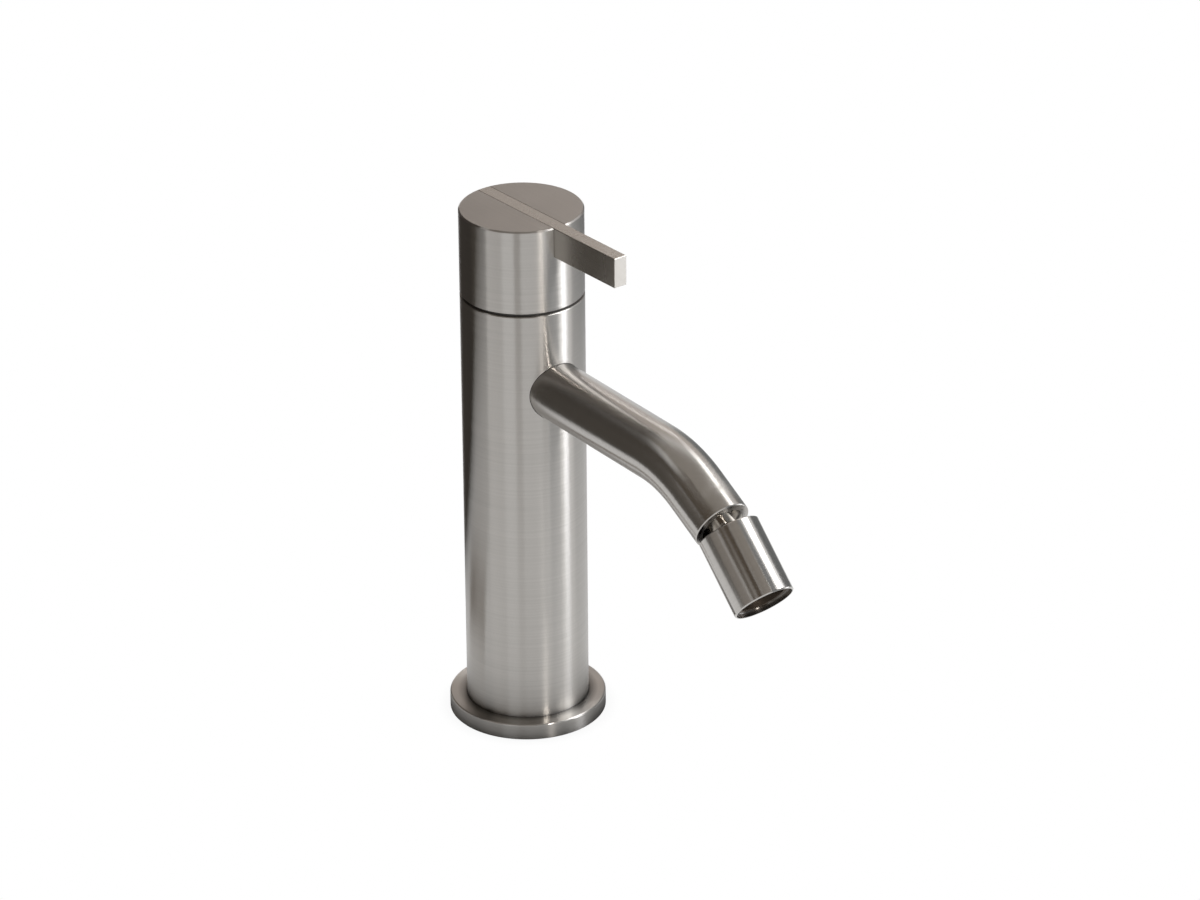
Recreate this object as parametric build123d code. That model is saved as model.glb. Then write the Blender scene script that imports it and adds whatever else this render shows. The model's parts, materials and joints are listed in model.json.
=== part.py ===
from build123d import *
import os
from math import asin, cos, degrees, radians, sin

# Bidet mixer, in millimetres and degrees.
# The origin is the centre of the foot on the deck. +Z is up and the spout points towards -Y.

# Clearances
slip_gap = 0.05
turn_gap = 0.05
film_gap = 0.02
free_gap = 0.6
overrun = 1.0

# Column
column_radius = 20.0
column_wall = 1.8
column_top = 148.6
column_edge = 0.25

# Foot
foot_overhang = 5.6
foot_height = 5.5
foot_edge = 0.6
foot_heel = 0.3
foot_lip_height = 2.0
foot_lip_width = 3.6
foot_gap = 0.2
base_seal_width = 2.4
base_seal_depth = 1.6

# Lower block with the hose threads and the fixing thread
manifold_height = 24.0
hose_tap_radius = 4.5
hose_tap_depth = 10.0
fixing_tap_radius = 3.4
fixing_tap_depth = 14.0
fixing_offset = 8.5

# Water ways, with cold on the right of someone who faces the spout, as shares of the cartridge
port_circle_share = 0.608
channel_share = 0.176
disc_port_share = 0.144
cold_angle = 30.0
hot_angle = 150.0

# Riser pipes
riser_radius = 4.0
riser_wall = 1.0
riser_socket_depth = 8.0
riser_seal_section = 1.2
riser_seal_inset = 2.5

# Upper block
valve_drop = 2.1
valve_depth = 20.0
port_roof = 2.4
nut_seat_drop = 1.2

# Cartridge
cartridge_radius = 12.5
cartridge_wall = 1.5
cartridge_base_height = 4.0
cartridge_roof = 1.4
neck_radius = 8.0
neck_rise = 1.4
disc_height = 2.6
fixed_disc_gap = 0.2
moving_disc_gap = 0.6
mixing_depth = 1.2
mixing_hub_radius = 2.4
mixing_rim = 0.85
cold_lobe_start = -50.0
cold_lobe_end = 12.0
hot_lobe_start = 48.0
hot_lobe_end = 90.0
key_width = 3.0
key_depth = 1.2
key_height = 1.0
base_key_angles = (210.0, 330.0)
driver_key_angles = (120.0, 300.0)
driver_height = 2.2
driver_inset = 0.4
tongue_length = 9.0
tongue_width = 4.0
tongue_height = 1.2
peg_radius = 1.2
peg_length = 2.0
peg_inset = 2.9
port_seal_section = 0.9
port_seal_land = 0.2

# Cartridge nut
nut_height = 3.6
nut_drop = 0.6
nut_share = 0.44
nut_bore_gap = 0.5
nut_slot_width = 3.0
nut_slot_depth = 1.2
nut_slot_count = 4

# Stem
stem_radius = 4.0
stem_play = 0.3
collar_radius = 6.5
collar_height = 1.8
stem_seal_section = 1.0
stem_seal_spacing = 2.2
stem_top_play = 0.5
spline_depth = 0.4
spline_width = 0.8
spline_count = 16
spline_start = 1.0
screw_groove_depth = 0.9

# Handle stop
stop_plate_height = 1.6
stop_plate_rim = 0.5
stop_rib_height = 3.0
stop_rib_width = 3.0
stop_rib_inset = 0.5
stop_key_width = 3.0
stop_key_depth = 1.0
handle_travel = 95.0
handle_rest = 3.3
stop_margin = 2.0

# Gap and glide ring
joint_gap = 1.0
glide_recess = 0.8
glide_width = 2.2
glide_film = 0.05

# Handle cap
cap_height = 28.4
cap_wall = 2.5
cap_slot_floor = 3.0
cap_top_edge = 0.45
hub_radius = 9.5
hub_web_width = 3.0
hub_web_angle = -90.0
insert_radius = 5.5
insert_length = 12.5
handle_screw_radius = 2.5
handle_screw_length = 6.2
handle_screw_rise = 6.8
handle_screw_hex = 2.5
handle_screw_hex_depth = 2.8
plug_radius = 3.2
plug_length = 2.6

# Lever
lever_width = 4.8
lever_height = 10.0
lever_reach = 50.3
lever_edge = 0.15
lever_seam = 0.06
lever_screw_radius = 1.5
lever_screw_head_radius = 2.7
lever_screw_head_height = 1.8
lever_screw_grip = 5.0
lever_screw_hex = 2.0
lever_screw_hex_depth = 1.2

# Spout
spout_radius = 9.55
spout_wall = 1.5
spout_run = 84.7
spout_drop_angle = 26.8
spout_tail = 26.0
spout_bend = 45.0
spout_entry = 3.8
spout_gap = 0.12
spout_boss_length = 11.3
spout_edge = 0.25
nipple_radius = 6.0
nipple_bore = 4.0
nipple_valve_length = 7.4
nipple_spout_length = 10.8
spout_seal_section = 1.0
spout_seal_inset = 2.0
spout_seal_spacing = 2.4

# Ball joint at the end of the spout
ball_reach = 6.2
ball_radius = 6.0
ball_cut_share = 0.7
ball_neck_radius = 4.3
ball_bore = 2.6
ball_hex = 5.8
ball_hex_depth = 3.0
tip_bush_lip = 0.95
tip_flange_height = 1.2
tip_washer_height = 1.0
tip_shank_step = 1.6
tip_shank_length = 8.5
tip_bush_length = 12.0
seat_ring_wall = 0.75
guide_low_angle = 3.0
guide_high_angle = 20.0
ball_seal_low_angle = -38.0
ball_seal_high_angle = -17.0

# Aerator sleeve
sleeve_radius = 10.0
sleeve_wall = 1.15
sleeve_length = 25.4
sleeve_tip_gap = 0.35
sleeve_tilt = 15.5
sleeve_edge = 0.3
mouth_depth = 1.6
mouth_wall = 0.6
retainer_inset = 0.4
retainer_low = 0.2
retainer_slot_width = 2.0
retainer_slot_depth = 0.8
cup_bore = 4.2
sleeve_lip_width = 0.95
sleeve_lip_height = 1.4
aerator_washer_width = 2.5
aerator_washer_height = 1.2
cage_wall = 1.3
cage_ledge = 0.8
cage_length = 8.0
cage_floor = 1.4
cell_radius = 1.0
cell_pitch = 2.2
flow_disc_height = 1.4
flow_hole_radius = 0.6
flow_hole_pitch = 2.1
screen_height = 1.0
screen_floor = 0.5
screen_rim = 0.7
screen_hole_radius = 0.45
screen_hole_pitch = 1.5
screen_count = 2
aerator_ring_wall = 1.3
aerator_ring_height = 1.9

# Sizes that follow from the ones above
column_bore = column_radius - column_wall
foot_radius = column_radius + foot_overhang
foot_lip_radius = column_radius - foot_lip_width
base_seal_middle = (column_radius + foot_gap + foot_radius) / 2
riser_bore = riser_radius - riser_wall

cap_bottom = column_top + joint_gap
cap_top = cap_bottom + cap_height
cap_bore = column_radius - cap_wall
lever_bottom = cap_top - lever_height
cap_ceiling = lever_bottom - cap_slot_floor

nut_top = column_top - nut_drop
cartridge_shoulder = nut_top - nut_height
cartridge_roof_low = cartridge_shoulder - cartridge_roof
collar_top = cartridge_roof_low - stem_play
collar_bottom = collar_top - collar_height
driver_bottom = collar_bottom - driver_height
moving_disc_bottom = driver_bottom - disc_height
fixed_disc_top = moving_disc_bottom - film_gap
fixed_disc_bottom = fixed_disc_top - disc_height
pocket_floor = fixed_disc_bottom - cartridge_base_height

valve_top = column_top - valve_drop
valve_radius = column_bore - slip_gap
nut_radius = cartridge_radius + nut_share * (valve_radius - cartridge_radius)
nut_bore = neck_radius + nut_bore_gap
cartridge_bore = cartridge_radius - cartridge_wall
fixed_disc_radius = cartridge_bore - fixed_disc_gap
moving_disc_radius = cartridge_bore - moving_disc_gap
neck_top = nut_top + neck_rise

port_circle_radius = port_circle_share * cartridge_radius
channel_radius = channel_share * cartridge_radius
disc_port_radius = disc_port_share * cartridge_radius
peg_offset = cartridge_radius - peg_inset

spout_height = pocket_floor - port_roof - nipple_radius - slip_gap
valve_bottom = spout_height - valve_depth

stop_plate_top = nut_top + stop_plate_height
hub_bottom = stop_plate_top + free_gap
insert_top = hub_bottom + insert_length
stem_top = insert_top - stem_top_play
spline_root_radius = stem_radius - spline_depth
screw_groove_radius = stem_radius - screw_groove_depth
handle_screw_height = hub_bottom + handle_screw_rise
stop_rib_inner = hub_radius + stop_rib_inset
stop_rib_outer = stop_rib_inner + stop_rib_width
stop_plate_radius = stop_rib_outer + stop_plate_rim
hub_web_half_angle = degrees(asin(hub_web_width / 2 / stop_rib_inner))
glide_outer = column_radius - glide_recess
glide_inner = glide_outer - glide_width
lever_screw_offset = (hub_radius + cap_bore) / 2

spout_bore = spout_radius - spout_wall
spout_seat = column_radius - spout_entry
tail_direction = Vector(0, -cos(radians(spout_drop_angle)), -sin(radians(spout_drop_angle)))
bend_point = Vector(0, -spout_run, spout_height)
spout_end = bend_point + tail_direction * spout_tail
ball_centre = spout_end + tail_direction * ball_reach

# In these two frames the ball's centre is the origin and the water runs towards -Z.
tip_frame = Pos(ball_centre) * Rot(X=spout_drop_angle - 90)
sleeve_frame = tip_frame * Rot(X=sleeve_tilt)

ball_cut = ball_cut_share * ball_radius
tip_bush_radius = spout_bore - slip_gap
tip_flange_radius = tip_bush_radius - tip_bush_lip - slip_gap
tip_shank_radius = tip_flange_radius - tip_shank_step
seat_inner = ball_radius + turn_gap
seat_outer = seat_inner + seat_ring_wall
socket_radius = seat_outer + turn_gap

# The tilted sleeve's upper rim clears the spout's end by the tip gap.
sleeve_bore = sleeve_radius - sleeve_wall
sleeve_fill = sleeve_bore - slip_gap
rim_height = ball_reach - sleeve_tip_gap
sleeve_rise = (rim_height - sleeve_radius * sin(radians(sleeve_tilt))) / cos(radians(sleeve_tilt))
mouth_bottom = sleeve_rise - sleeve_length
mouth_floor = mouth_bottom + mouth_depth
cage_bottom = mouth_floor + aerator_ring_height
cage_top = cage_bottom + cage_length
cage_bore = sleeve_fill - cage_wall
screen_radius = cage_bore - cage_ledge
sleeve_lip_bottom = cage_top + aerator_washer_height
sleeve_lip_top = sleeve_lip_bottom + sleeve_lip_height


def turned(*outline):
    """Solid of revolution about the upright axis, from (radius, height) points."""
    face = Plane.XZ * make_face(Polyline(*outline, close=True))
    return revolve(face, Axis.Z)


def post(radius, low, high, x=0.0, y=0.0):
    """Upright round bar between two heights."""
    bar = Cylinder(radius, high - low, align=(Align.CENTER, Align.CENTER, Align.MIN))
    return Pos(x, y, low) * bar


def ring(outer, inner, low, high, x=0.0, y=0.0):
    """Upright round ring between two heights."""
    return post(outer, low, high, x, y) - post(inner, low - overrun, high + overrun, x, y)


def front_bar(radius, near, far, height):
    """Round bar that lies along -Y, between two distances from the column's axis."""
    return Pos(0, 0, height) * Rot(X=90) * post(radius, near, far)


def block(width, depth, height, x=0.0, y=0.0, z=0.0):
    """Upright block whose underside is centred on the point."""
    return Pos(x, y, z) * Box(width, depth, height, align=(Align.CENTER, Align.CENTER, Align.MIN))


def polar(radius, angle):
    """Point on a circle about the upright axis."""
    return radius * cos(radians(angle)), radius * sin(radians(angle))


def sector(inner, outer, start, end, low, high):
    """Part of an upright ring between two angles and two heights."""
    span = end - start
    outline = [
        CenterArc((0, 0), outer, start, span),
        Line(polar(outer, end), polar(inner, end)),
        CenterArc((0, 0), inner, end, -span),
        Line(polar(inner, start), polar(outer, start)),
    ]
    return Pos(0, 0, low) * extrude(make_face(outline), high - low)


def seal(middle_radius, section, height, x=0.0, y=0.0):
    """Round rubber ring lying level, a slip gap thinner than its groove."""
    return Pos(x, y, height) * Torus(middle_radius, section / 2 - slip_gap / 2)


def seal_groove(middle_radius, section, height, x=0.0, y=0.0):
    """Square groove that holds such a ring."""
    half = section / 2
    return ring(middle_radius + half, middle_radius - half, height - half, height + half, x, y)


def keys(angles, outer, low, high, gap=0.0):
    """Drive keys under or over a disc, or their notches where a gap is given."""
    solids = []
    for angle in angles:
        depth = key_depth + 2 * gap
        key = block(depth, key_width + 2 * gap, high - low, x=outer - key_depth / 2, z=low)
        solids.append(Rot(Z=angle) * key)
    return solids


def zone(inner, outer, low_angle, high_angle):
    """Ring cut from a hollow ball, between two angles above its equator."""
    middle = (low_angle + high_angle) / 2
    outline = [
        Line(polar(inner, low_angle), polar(outer, low_angle)),
        ThreePointArc(polar(outer, low_angle), polar(outer, middle), polar(outer, high_angle)),
        Line(polar(outer, high_angle), polar(inner, high_angle)),
        ThreePointArc(polar(inner, high_angle), polar(inner, middle), polar(inner, low_angle)),
    ]
    return revolve(Plane.XZ * make_face(outline), Axis.Z)


def packed_points(pitch, limit):
    """Points of a close-packed pattern that lie within a circle."""
    points = []
    rows = int(limit / pitch) + 2
    for row in range(-rows, rows + 1):
        for column in range(-rows, rows + 1):
            x = (column + row / 2) * pitch
            y = row * pitch * sin(radians(60))
            if x * x + y * y <= limit * limit:
                points.append((x, y))
    return points


def sieve(radius, hole, points, low, high):
    """Round plate with a hole of the given outline at each point."""
    face = Circle(radius) - [Pos(*point) * hole for point in points]
    return Pos(0, 0, low) * extrude(face, high - low)


def make_base_flange():
    """Round foot with an inner lip that carries the column."""
    column_hole = column_radius + foot_gap
    foot = turned(
        (foot_lip_radius, 0),
        (foot_radius - foot_heel, 0),
        (foot_radius, foot_heel),
        (foot_radius, foot_height),
        (column_hole, foot_height),
        (column_hole, foot_lip_height),
        (foot_lip_radius, foot_lip_height),
    )
    rim = foot.edges().filter_by(GeomType.CIRCLE).group_by(Axis.Z)[-1].sort_by(SortBy.RADIUS)[-1]
    foot = fillet(rim, foot_edge)
    half = base_seal_width / 2
    return foot - ring(base_seal_middle + half, base_seal_middle - half, -overrun, base_seal_depth)


def make_base_seal():
    """Flat rubber ring, flush with the underside of the foot."""
    half = base_seal_width / 2 - slip_gap
    return ring(base_seal_middle + half, base_seal_middle - half, 0, base_seal_depth)


def make_body_shell():
    """Upright steel tube with the hole that the spout enters by."""
    shell = turned(
        (column_bore, foot_lip_height),
        (column_radius, foot_lip_height),
        (column_radius, column_top - column_edge),
        (column_radius - column_edge, column_top),
        (column_bore, column_top),
    )
    return shell - front_bar(spout_radius + spout_gap, 0, column_radius + overrun, spout_height)


def make_base_manifold():
    """Lower block: hose threads, fixing thread and the sockets of both risers."""
    block_radius = column_bore - slip_gap
    spigot_radius = foot_lip_radius - slip_gap
    manifold = turned(
        (0, 0),
        (spigot_radius, 0),
        (spigot_radius, foot_lip_height),
        (block_radius, foot_lip_height),
        (block_radius, manifold_height),
        (0, manifold_height),
    )
    socket_floor = manifold_height - riser_socket_depth
    for angle in (cold_angle, hot_angle):
        x, y = polar(port_circle_radius, angle)
        manifold -= post(hose_tap_radius, -overrun, hose_tap_depth, x, y)
        manifold -= post(channel_radius, 0, manifold_height, x, y)
        manifold -= post(riser_radius + slip_gap, socket_floor, manifold_height + overrun, x, y)
        manifold -= riser_seal_groove(manifold_height - riser_seal_inset, x, y)
    return manifold - post(fixing_tap_radius, -overrun, fixing_tap_depth, y=-fixing_offset)


def riser_seal_groove(height, x, y):
    """Groove round a riser for its sealing ring."""
    outer = riser_radius + riser_seal_section
    half = riser_seal_section / 2
    return post(outer, height - half, height + half, x, y)


def make_riser(angle):
    """Straight pipe from the lower block to the upper one."""
    x, y = polar(port_circle_radius, angle)
    low = manifold_height - riser_socket_depth
    high = valve_bottom + riser_socket_depth
    return ring(riser_radius, riser_bore, low, high, x, y)


def make_riser_seals():
    """Four rings that seal the ends of both risers."""
    middle = riser_radius + riser_seal_section / 2
    heights = (manifold_height - riser_seal_inset, valve_bottom + riser_seal_inset)
    rings = []
    for angle in (cold_angle, hot_angle):
        x, y = polar(port_circle_radius, angle)
        rings += [seal(middle, riser_seal_section, height, x, y) for height in heights]
    return Compound(rings)


def make_valve_body():
    """Upper block: riser sockets below, cartridge pocket above and the spout port in front."""
    body = post(valve_radius, valve_bottom, valve_top)
    body -= post(cartridge_radius + slip_gap, pocket_floor, valve_top + overrun)
    body -= post(nut_radius + slip_gap, cartridge_shoulder - nut_seat_drop, valve_top + overrun)
    socket_top = valve_bottom + riser_socket_depth
    for angle in (cold_angle, hot_angle):
        x, y = polar(port_circle_radius, angle)
        body -= post(channel_radius, valve_bottom, pocket_floor + overrun, x, y)
        body -= post(riser_radius + slip_gap, valve_bottom - overrun, socket_top, x, y)
        body -= riser_seal_groove(valve_bottom + riser_seal_inset, x, y)
    port_end = spout_seat - nipple_valve_length - slip_gap
    body -= front_bar(spout_radius + spout_gap, spout_seat, column_radius, spout_height)
    body -= front_bar(nipple_radius + slip_gap, port_end, column_radius, spout_height)
    body -= front_bar(channel_radius, 0, spout_seat, spout_height)
    body -= post(channel_radius, spout_height, pocket_floor + overrun)
    hole_floor = pocket_floor - peg_length - slip_gap
    return body - post(peg_radius + slip_gap, hole_floor, pocket_floor + overrun, y=peg_offset)


def make_cartridge_base():
    """Lower half of the cartridge, with three ports, two keys and a locating peg."""
    base = post(cartridge_radius, pocket_floor, fixed_disc_bottom)
    base += post(peg_radius, pocket_floor - peg_length, pocket_floor, y=peg_offset)
    for key in keys(base_key_angles, fixed_disc_radius - key_depth / 2, fixed_disc_bottom,
                    fixed_disc_bottom + key_height):
        base += key
    for x, y in port_places():
        base -= post(disc_port_radius, pocket_floor - overrun, fixed_disc_top, x, y)
        base -= seal_groove(port_seal_middle(), port_seal_section, port_seal_height(), x, y)
    return base


def port_places():
    """Centres of the outlet, cold and hot ports."""
    cold_port = polar(port_circle_radius, cold_angle)
    hot_port = polar(port_circle_radius, hot_angle)
    return (0.0, 0.0), cold_port, hot_port


def port_seal_middle():
    """Middle radius of the rings under the cartridge, clear of the channels below them."""
    return channel_radius + port_seal_land + port_seal_section / 2


def port_seal_height():
    """Height of the middle of the rings under the cartridge."""
    return pocket_floor + port_seal_section / 2


def make_port_seals():
    """Three rings between the cartridge and its pocket."""
    middle = port_seal_middle()
    return Compound([seal(middle, port_seal_section, port_seal_height(), x, y) for x, y in port_places()])


def make_fixed_disc():
    """Lower ceramic disc, keyed to the cartridge base."""
    disc = post(fixed_disc_radius, fixed_disc_bottom, fixed_disc_top)
    for x, y in port_places():
        disc -= post(disc_port_radius, fixed_disc_bottom - overrun, fixed_disc_top + overrun, x, y)
    for notch in keys(base_key_angles, fixed_disc_radius - key_depth / 2, fixed_disc_bottom - overrun,
                      fixed_disc_bottom + key_height + slip_gap, slip_gap):
        disc -= notch
    return disc


def make_moving_disc():
    """Upper ceramic disc, whose hollow underside joins the inlets to the outlet as it turns."""
    disc = post(moving_disc_radius, moving_disc_bottom, driver_bottom)
    hollow_low = moving_disc_bottom - overrun
    hollow_high = moving_disc_bottom + mixing_depth
    lobe_inner = mixing_hub_radius / 2
    lobe_outer = moving_disc_radius - mixing_rim
    disc -= post(mixing_hub_radius, hollow_low, hollow_high)
    disc -= sector(lobe_inner, lobe_outer, cold_lobe_start, cold_lobe_end, hollow_low, hollow_high)
    disc -= sector(lobe_inner, lobe_outer, hot_lobe_start, hot_lobe_end, hollow_low, hollow_high)
    for notch in keys(driver_key_angles, moving_disc_radius - driver_inset - key_depth / 2,
                      driver_bottom - key_height - slip_gap, driver_bottom + overrun, slip_gap):
        disc -= notch
    return disc


def make_disc_driver():
    """Coupling between the stem and the moving disc."""
    radius = moving_disc_radius - driver_inset
    driver = post(radius, driver_bottom, collar_bottom)
    for key in keys(driver_key_angles, radius - key_depth / 2, driver_bottom - key_height, driver_bottom):
        driver += key
    slot_height = tongue_height + slip_gap
    slot = block(tongue_length + 2 * slip_gap, tongue_width + 2 * slip_gap, slot_height + overrun,
                 z=collar_bottom - slot_height)
    return driver - slot


def make_cartridge_housing():
    """Upper half of the cartridge: a cup over the discs with a neck for the stem."""
    stem_bore = stem_radius + turn_gap
    housing = turned(
        (cartridge_bore, fixed_disc_bottom),
        (cartridge_radius, fixed_disc_bottom),
        (cartridge_radius, cartridge_shoulder),
        (neck_radius, cartridge_shoulder),
        (neck_radius, neck_top),
        (stem_bore, neck_top),
        (stem_bore, cartridge_roof_low),
        (cartridge_bore, cartridge_roof_low),
    )
    key_slot = block(stop_key_width + 2 * slip_gap, stop_key_depth + overrun, neck_top - nut_top + overrun,
                     y=neck_radius - stop_key_depth + (stop_key_depth + overrun) / 2, z=nut_top)
    return housing - key_slot


def spline_face(gap=0.0):
    """Toothed outline of the stem's top, or of the hole round it where a gap is given."""
    face = Circle(spline_root_radius + gap)
    tooth = Pos(X=(stem_radius + gap) / 2) * Rectangle(stem_radius + gap, spline_width + 2 * gap)
    for number in range(spline_count):
        face += Rot(Z=number * 360 / spline_count) * tooth
    return face


def stem_seal_heights():
    """Heights of the two rings in the cartridge's neck."""
    middle = (cartridge_roof_low + neck_top) / 2
    return middle - stem_seal_spacing / 2, middle + stem_seal_spacing / 2


def make_cartridge_stem():
    """Spindle with a tongue below, two ring grooves, splines above and a groove for the screw."""
    spline_bottom = hub_bottom + spline_start
    stem = post(collar_radius, collar_bottom, collar_top)
    stem += block(tongue_length, tongue_width, tongue_height, z=collar_bottom - tongue_height)
    stem += post(stem_radius, collar_top, spline_bottom)
    stem += Pos(0, 0, spline_bottom) * extrude(spline_face(), stem_top - spline_bottom)
    for height in stem_seal_heights():
        stem -= seal_groove(stem_radius - stem_seal_section / 2, stem_seal_section, height)
    half = handle_screw_radius + slip_gap
    return stem - ring(stem_radius + overrun, screw_groove_radius,
                       handle_screw_height - half, handle_screw_height + half)


def make_stem_seals():
    """Two rings that seal the stem in the cartridge's neck."""
    middle = stem_radius - stem_seal_section / 2
    return Compound([seal(middle, stem_seal_section, height) for height in stem_seal_heights()])


def make_cartridge_nut():
    """Threaded ring that clamps the cartridge, with slots for its key."""
    nut = ring(nut_radius, nut_bore, cartridge_shoulder, nut_top)
    slot_floor = nut_top - nut_slot_depth
    slot = block(nut_radius, nut_slot_width, nut_slot_depth + overrun, x=nut_radius, z=slot_floor)
    for number in range(nut_slot_count):
        nut -= Rot(Z=(number + 0.5) * 360 / nut_slot_count) * slot
    return nut


def make_stop_ring():
    """Ring keyed to the cartridge's neck, whose raised rib limits how far the handle turns."""
    plate = ring(stop_plate_radius, neck_radius + slip_gap, nut_top, stop_plate_top)
    key_depth_in = stop_key_depth - slip_gap
    plate += block(stop_key_width, key_depth_in + 2 * slip_gap, neck_top - nut_top,
                   y=neck_radius - key_depth_in / 2 + slip_gap, z=nut_top)
    clear = hub_web_half_angle + stop_margin
    rib_start = hub_web_angle + handle_travel + clear
    rib_end = hub_web_angle + 360 - clear
    rib = sector(stop_rib_inner, stop_rib_outer, rib_start, rib_end,
                 stop_plate_top, stop_plate_top + stop_rib_height)
    return plate + rib


def make_glide_ring():
    """Dark plastic ring between the column and the cap, set back from both."""
    return turned(
        (glide_inner, valve_top),
        (column_bore - slip_gap, valve_top),
        (column_bore - slip_gap, column_top),
        (glide_outer, column_top),
        (glide_outer, cap_bottom - glide_film),
        (glide_inner, cap_bottom - glide_film),
    )


def cap_blank():
    """Cap before it is hollowed, with its broken edges."""
    return turned(
        (0, cap_bottom),
        (column_radius - column_edge, cap_bottom),
        (column_radius, cap_bottom + column_edge),
        (column_radius, cap_top - cap_top_edge),
        (column_radius - cap_top_edge, cap_top),
        (0, cap_top),
    )


def back_bar(radius, near, far):
    """Round bar along +Y at the height of the handle screw."""
    return Pos(0, 0, handle_screw_height) * Rot(X=-90) * post(radius, near, far)


def make_handle_cap():
    """Turning cap with a hub for the stem, a web that meets the stop and the lever's slot."""
    cap = cap_blank() - post(cap_bore, cap_bottom - overrun, cap_ceiling)
    cap += post(hub_radius, hub_bottom, cap_ceiling)
    web_length = cap_bore - insert_radius
    web = block(web_length, hub_web_width, cap_ceiling - hub_bottom,
                x=insert_radius + web_length / 2, z=hub_bottom)
    cap += Rot(Z=hub_web_angle) * web
    cap -= post(insert_radius + slip_gap, hub_bottom - overrun, insert_top + slip_gap)
    cap -= block(lever_width + 2 * lever_seam, 2 * column_radius + overrun, lever_height + overrun,
                 z=lever_bottom)
    cap -= back_bar(handle_screw_radius + slip_gap, 0, hub_radius + overrun)
    cap -= back_bar(plug_radius, cap_bore - overrun, column_radius + overrun)
    for side in (-1, 1):
        y = side * lever_screw_offset
        head_top = cap_ceiling + lever_screw_head_height
        cap -= post(lever_screw_radius + slip_gap, cap_ceiling - overrun, lever_bottom + overrun, y=y)
        cap -= post(lever_screw_head_radius + slip_gap, cap_ceiling - overrun, head_top, y=y)
    return cap


def make_lever_bar():
    """Flat bar, flush with the cap's top, that ends in the cap's curve at the back."""
    length = lever_reach + column_radius
    bar = Box(lever_width, length, lever_height, align=(Align.CENTER, Align.MIN, Align.MIN))
    bar = Pos(0, -lever_reach, lever_bottom) * chamfer(bar.edges(), lever_edge)
    back_half = block(lever_width + overrun, column_radius, lever_height, y=column_radius / 2, z=lever_bottom)
    bar -= back_half - cap_blank()
    for side in (-1, 1):
        bar -= post(lever_screw_radius + slip_gap, lever_bottom - overrun,
                    lever_bottom + lever_screw_grip + slip_gap, y=side * lever_screw_offset)
    return bar


def hex_hole(across_flats, low, high):
    """Upright six-sided hole for a key."""
    outline = RegularPolygon(across_flats / 2, 6, major_radius=False)
    return Pos(0, 0, low) * extrude(outline, high - low)


def make_lever_screws():
    """Two screws that pull the bar down into its slot."""
    screw = post(lever_screw_head_radius, 0, lever_screw_head_height)
    screw += post(lever_screw_radius, 0, lever_bottom - cap_ceiling + lever_screw_grip)
    screw -= hex_hole(lever_screw_hex, -overrun, lever_screw_hex_depth)
    screw = Pos(0, 0, cap_ceiling) * screw
    return Compound([Pos(0, side * lever_screw_offset, 0) * screw for side in (-1, 1)])


def make_spline_insert():
    """Toothed brass bush in the cap's hub."""
    insert = post(insert_radius, hub_bottom, insert_top)
    hole = extrude(spline_face(slip_gap), insert_length + 2 * overrun)
    insert -= Pos(0, 0, hub_bottom - overrun) * hole
    insert -= post(stem_radius + slip_gap, hub_bottom - overrun, hub_bottom + spline_start + slip_gap)
    return insert - back_bar(handle_screw_radius + slip_gap, 0, insert_radius + overrun)


def make_handle_screw():
    """Grub screw that locks the handle on the stem."""
    screw = post(handle_screw_radius, 0, handle_screw_length)
    screw -= hex_hole(handle_screw_hex, handle_screw_length - handle_screw_hex_depth,
                      handle_screw_length + overrun)
    tip = screw_groove_radius + slip_gap
    return Pos(0, tip, handle_screw_height) * Rot(X=-90) * screw


def make_screw_plug():
    """Small cover over the handle screw, flush with the cap."""
    far = column_radius + overrun
    plug = back_bar(plug_radius - slip_gap, column_radius - plug_length, far)
    return plug & post(column_radius, cap_bottom, cap_top)


def spout_path(start, end_extra=0.0):
    """Centre line of the spout from a distance in front of the column's axis."""
    end = spout_end + tail_direction * end_extra
    return FilletPolyline((0, -start, spout_height), bend_point, end, radius=spout_bend)


def spout_rod(radius, start, end_extra=0.0):
    """Solid round rod along the spout's centre line."""
    section = Plane((0, -start, spout_height), x_dir=(1, 0, 0), z_dir=(0, -1, 0)) * Circle(radius)
    return sweep(section, spout_path(start, end_extra))


def make_spout_tube():
    """Bent tube with a thick root for its threaded nipple."""
    boss_end = spout_seat + spout_boss_length
    tube = spout_rod(spout_radius, spout_seat) - spout_rod(spout_bore, boss_end, overrun)
    tube -= front_bar(nipple_radius + slip_gap, 0, boss_end + overrun, spout_height)
    round_edges = tube.edges().filter_by(GeomType.CIRCLE)
    rims = [edge for edge in round_edges if is_tip_rim(edge)]
    return chamfer(rims, spout_edge)


def is_tip_rim(edge):
    """True for the outer edge of the spout's end."""
    near_end = (edge.arc_center - spout_end).length < film_gap
    return near_end and abs(edge.radius - spout_radius) < film_gap


def spout_seal_places():
    """Distances of the nipple's two rings from the column's axis."""
    first = spout_seat - nipple_valve_length + spout_seal_inset
    return first, first + spout_seal_spacing


def make_spout_nipple():
    """Threaded tube that joins the spout to the upper block."""
    near = spout_seat - nipple_valve_length
    far = spout_seat + nipple_spout_length
    nipple = ring(nipple_radius, nipple_bore, near, far)
    for place in spout_seal_places():
        nipple -= seal_groove(nipple_radius - spout_seal_section / 2, spout_seal_section, place)
    return Pos(0, 0, spout_height) * Rot(X=90) * nipple


def make_spout_seals():
    """Two rings round the nipple."""
    middle = nipple_radius - spout_seal_section / 2
    turn = Pos(0, 0, spout_height) * Rot(X=90)
    return Compound([turn * seal(middle, spout_seal_section, place) for place in spout_seal_places()])


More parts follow.
